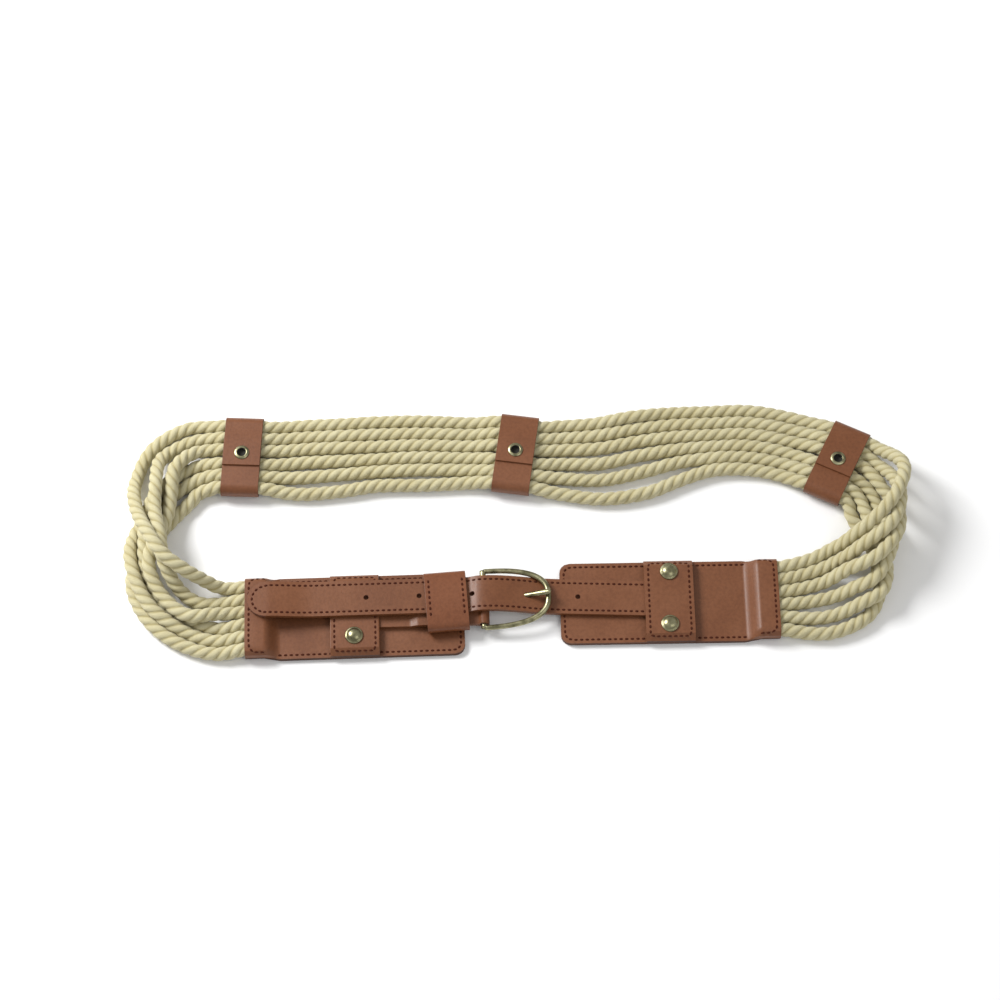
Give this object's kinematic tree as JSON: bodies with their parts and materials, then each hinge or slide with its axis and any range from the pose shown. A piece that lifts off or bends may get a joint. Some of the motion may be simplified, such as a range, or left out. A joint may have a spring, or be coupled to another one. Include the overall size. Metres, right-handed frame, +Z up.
{
  "type": "rope belt with leather tabs",
  "caption": "Waist belt of side by side cotton ropes in riveted leather keepers and end tabs, buckled into a flat oval loop by a pin buckle and a holed strap.",
  "frame": {"origin": "centre of the belt's box, on the surface that it lies on", "axes": "+X along the front, from the tab with the buckle to the tab with the holed strap; +Y from the buckle to the back of the loop; +Z up"},
  "size_m": [0.388, 0.1379, 0.029],
  "materials": {
    "cotton": "twisted cotton, matt",
    "leather": "smooth, satin",
    "old_brass": "darkened, satin"
  },
  "bodies": {
    "root": {"rope_1": "cotton", "rope_2": "cotton", "rope_3": "cotton", "rope_4": "cotton", "rope_5": "cotton", "rope_6": "cotton", "left_tab_back": "leather", "left_tab_front": "leather", "left_band": "leather", "left_rivet_1": "old_brass", "right_tab_back": "leather", "right_tab_front": "leather", "right_band": "leather", "right_rivet_1": "old_brass", "right_rivet_2": "old_brass", "buckle_strap": "leather", "strap_loop": "leather", "buckle_frame": "old_brass", "buckle_tongue": "old_brass", "tip_strap": "leather", "keeper_1": "leather", "keeper_2": "leather", "keeper_3": "leather", "keeper_rivet_1": "old_brass", "keeper_rivet_2": "old_brass", "keeper_rivet_3": "old_brass"}
  },
  "joints": []
}
